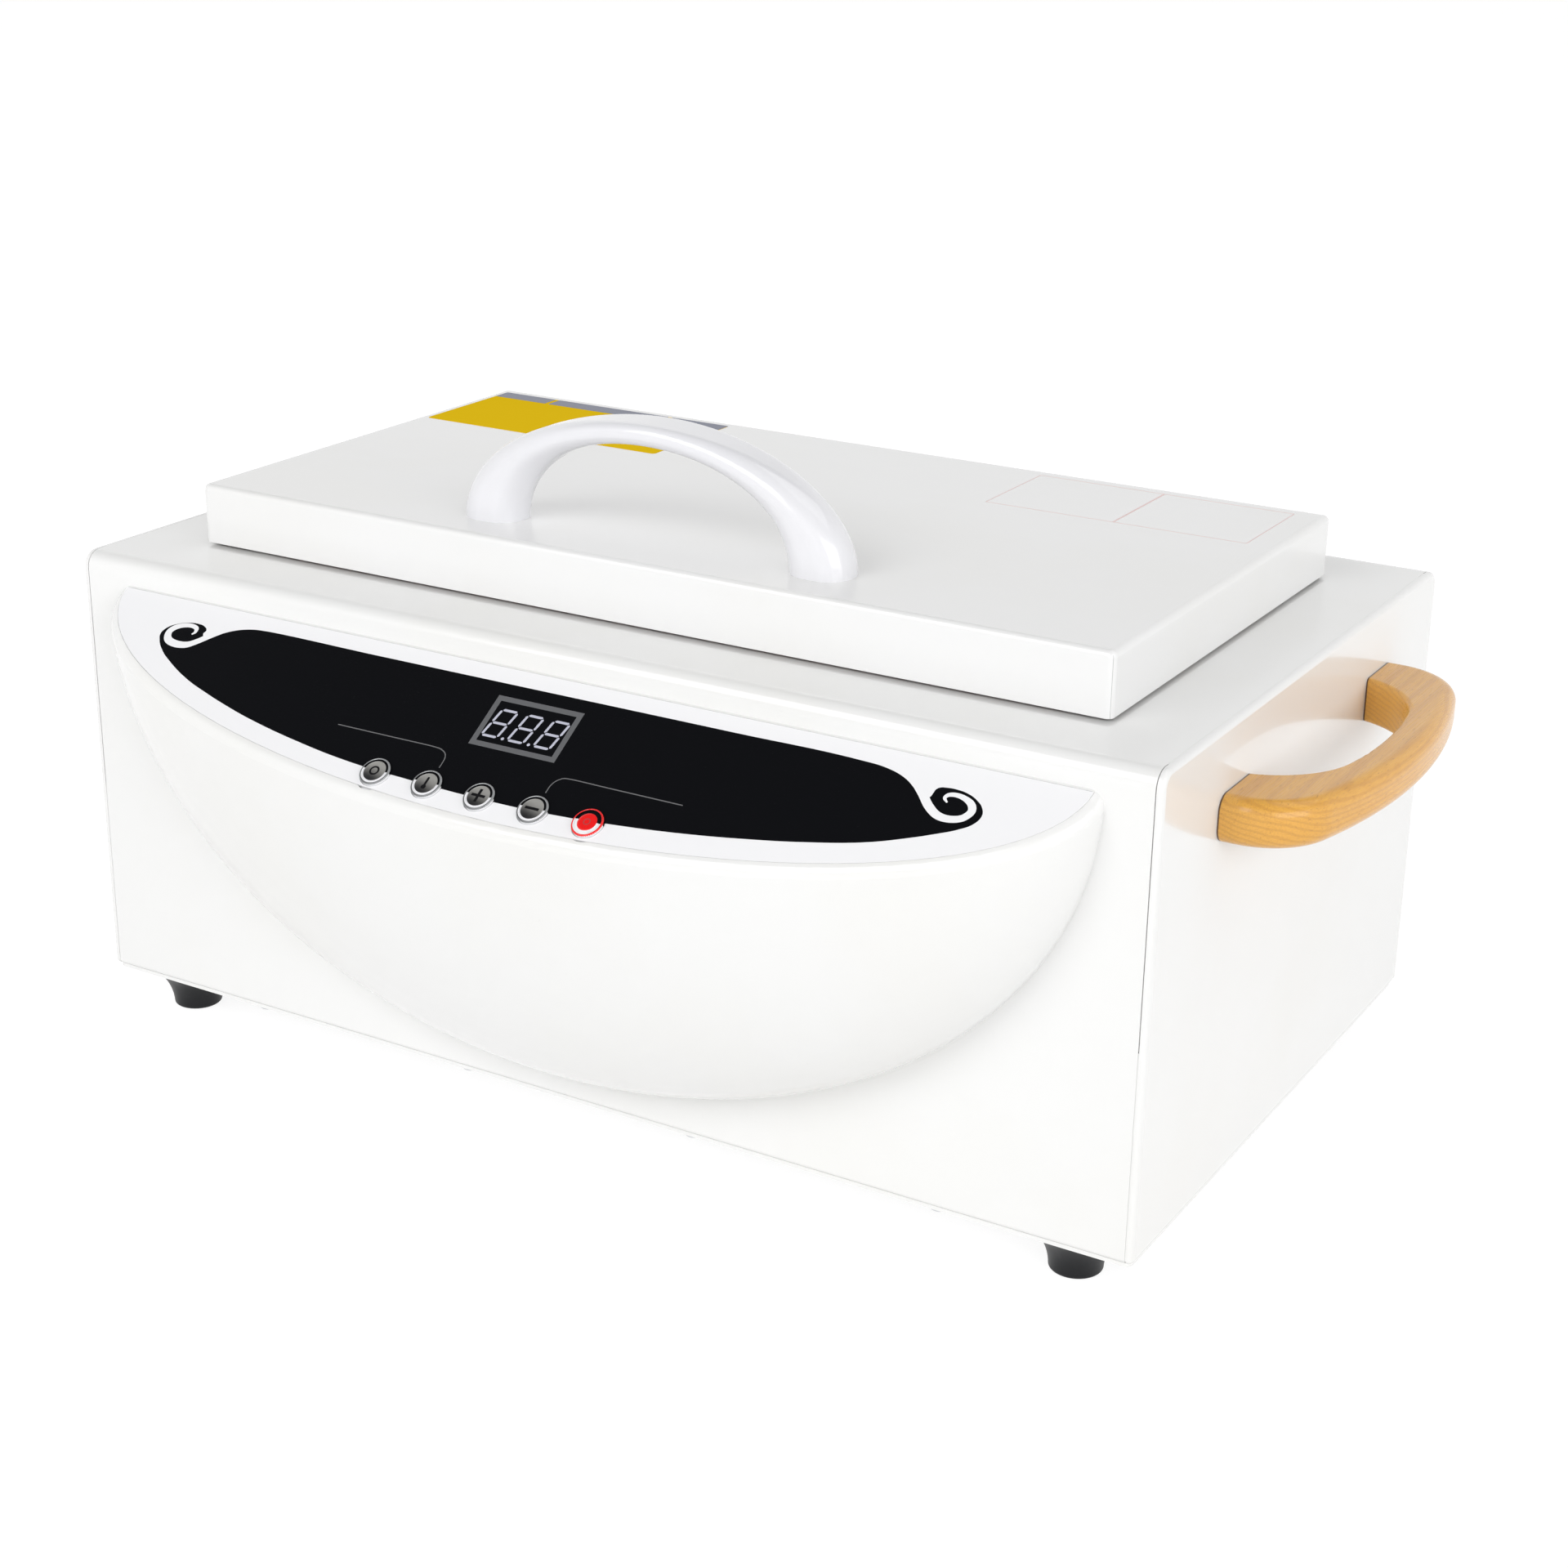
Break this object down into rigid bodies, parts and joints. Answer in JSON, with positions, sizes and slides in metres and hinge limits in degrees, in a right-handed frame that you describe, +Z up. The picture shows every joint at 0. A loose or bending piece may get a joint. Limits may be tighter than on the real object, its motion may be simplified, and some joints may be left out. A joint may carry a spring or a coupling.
{
  "type": "dry heat sterilizer",
  "caption": "Benchtop dry heat sterilizer: white sheet metal casing, bowl-shaped control bezel with sloping key panel, hinged handled lid over a steel tub, wooden side handles, rubber feet.",
  "frame": {"origin": "on the table, under the middle of the whole object with its side handles and bezel", "axes": "+X to the user's right, +Y to the back, +Z up; the control bezel faces -Y"},
  "size_m": [0.424, 0.2606, 0.2078],
  "materials": {
    "white_paint": "smooth powder coat, semi-gloss",
    "zinc_sheet": "zinc plated sheet",
    "steel": "zinc plated",
    "foot_rubber": "matt moulded rubber",
    "stainless": "drawn stainless sheet, satin",
    "tray_stainless": "polished stainless sheet",
    "heater_foil": "mica faced heater plate",
    "ceramic_wool": "soft ceramic fibre",
    "shield_sheet": "bright rolled sheet",
    "silicone": "red silicone, matt",
    "white_plastic": "glossy moulding",
    "overlay_film": "printed film over black print",
    "dark_window": "smoked display window",
    "black_plastic": "fine matt moulding",
    "silver_key": "metallised cap",
    "red_key": "glossy cap",
    "red_plastic": "translucent red rocker",
    "board_green": "solder masked laminate",
    "hinge_steel": "nickel plated",
    "beech": "clear varnished beech",
    "brass": "nickelled brass",
    "blue_plastic": "sealed relay case",
    "transformer_core": "potted transformer",
    "green_plastic": "screw terminal body",
    "lead_sleeve": "braided glass sleeve",
    "ribbon_grey": "flat ribbon",
    "cable_grey": "round sheath"
  },
  "bodies": {
    "casing": {"base_plate": "white_paint", "base_screws": "steel", "board_screws": "steel", "board_standoffs": "brass", "casing_wrap": "white_paint", "chamber_insulation": "ceramic_wool", "chamber_tub": "stainless", "control_board": "board_green", "control_overlay": "overlay_film", "display_module": "black_plastic", "display_window": "dark_window", "foot_front_left": "foot_rubber", "foot_front_right": "foot_rubber", "foot_rear_left": "foot_rubber", "foot_rear_right": "foot_rubber", "foot_screws": "steel", "front_bezel": "white_plastic", "heat_shield": "shield_sheet", "heater_clamp": "zinc_sheet", "heater_leads": "lead_sleeve", "heater_plate": "heater_foil", "hex_nuts": "steel", "hinge_base_leaves": "hinge_steel", "hinge_base_screws": "steel", "hinge_pins": "hinge_steel", "inlet_pins": "brass", "instrument_tray": "tray_stainless", "key_switches": "black_plastic", "mains_cable": "cable_grey", "panel_screws": "steel", "power_board": "board_green", "power_inlet": "black_plastic", "power_relay": "blue_plastic", "probe_clip": "steel", "ribbon_cable": "ribbon_grey", "side_handle_left": "beech", "side_handle_right": "beech", "side_handle_screws": "steel", "side_panel_left": "white_paint", "side_panel_right": "white_paint", "switch_frame": "black_plastic", "temperature_probe": "stainless", "terminal_block": "green_plastic", "thermal_cutout": "black_plastic", "transformer": "transformer_core"},
    "lid": {"lid_shell": "white_paint", "lid_liner": "stainless", "lid_insulation": "ceramic_wool", "lid_gasket": "silicone", "lid_handle": "white_plastic", "lid_handle_screws": "steel", "hinge_lid_leaves": "hinge_steel", "hinge_lid_screws": "steel"},
    "menu_key": {"menu_key": "silver_key"},
    "temperature_key": {"temperature_key": "silver_key"},
    "plus_key": {"plus_key": "silver_key"},
    "minus_key": {"minus_key": "silver_key"},
    "reset_key": {"reset_key": "red_key"},
    "rocker": {"switch_rocker": "red_plastic"}
  },
  "joints": [
    {"name": "lid_hinge", "type": "hinge", "parent": "casing", "child": "lid", "pos_m": [0, 0.10521, 0.1571], "axis": [-1, 0, 0], "range_deg": [0, 100]},
    {"name": "menu_key_press", "type": "slide", "parent": "casing", "child": "menu_key", "axis": [0, 0.5446, -0.8387], "range_m": [0, 0.0005], "stiffness_N_per_m": 600, "springref_m": -0.0015},
    {"name": "temperature_key_press", "type": "slide", "parent": "casing", "child": "temperature_key", "axis": [0, 0.5446, -0.8387], "range_m": [0, 0.0005], "stiffness_N_per_m": 600, "springref_m": -0.0015},
    {"name": "plus_key_press", "type": "slide", "parent": "casing", "child": "plus_key", "axis": [0, 0.5446, -0.8387], "range_m": [0, 0.0005], "stiffness_N_per_m": 600, "springref_m": -0.0015},
    {"name": "minus_key_press", "type": "slide", "parent": "casing", "child": "minus_key", "axis": [0, 0.5446, -0.8387], "range_m": [0, 0.0005], "stiffness_N_per_m": 600, "springref_m": -0.0015},
    {"name": "reset_key_press", "type": "slide", "parent": "casing", "child": "reset_key", "axis": [0, 0.5446, -0.8387], "range_m": [0, 0.0005], "stiffness_N_per_m": 600, "springref_m": -0.0015},
    {"name": "rocker_tilt", "type": "hinge", "parent": "casing", "child": "rocker", "pos_m": [-0.072, 0.12371, 0.0516], "axis": [1, 0, 0], "range_deg": [0, 22]}
  ]
}
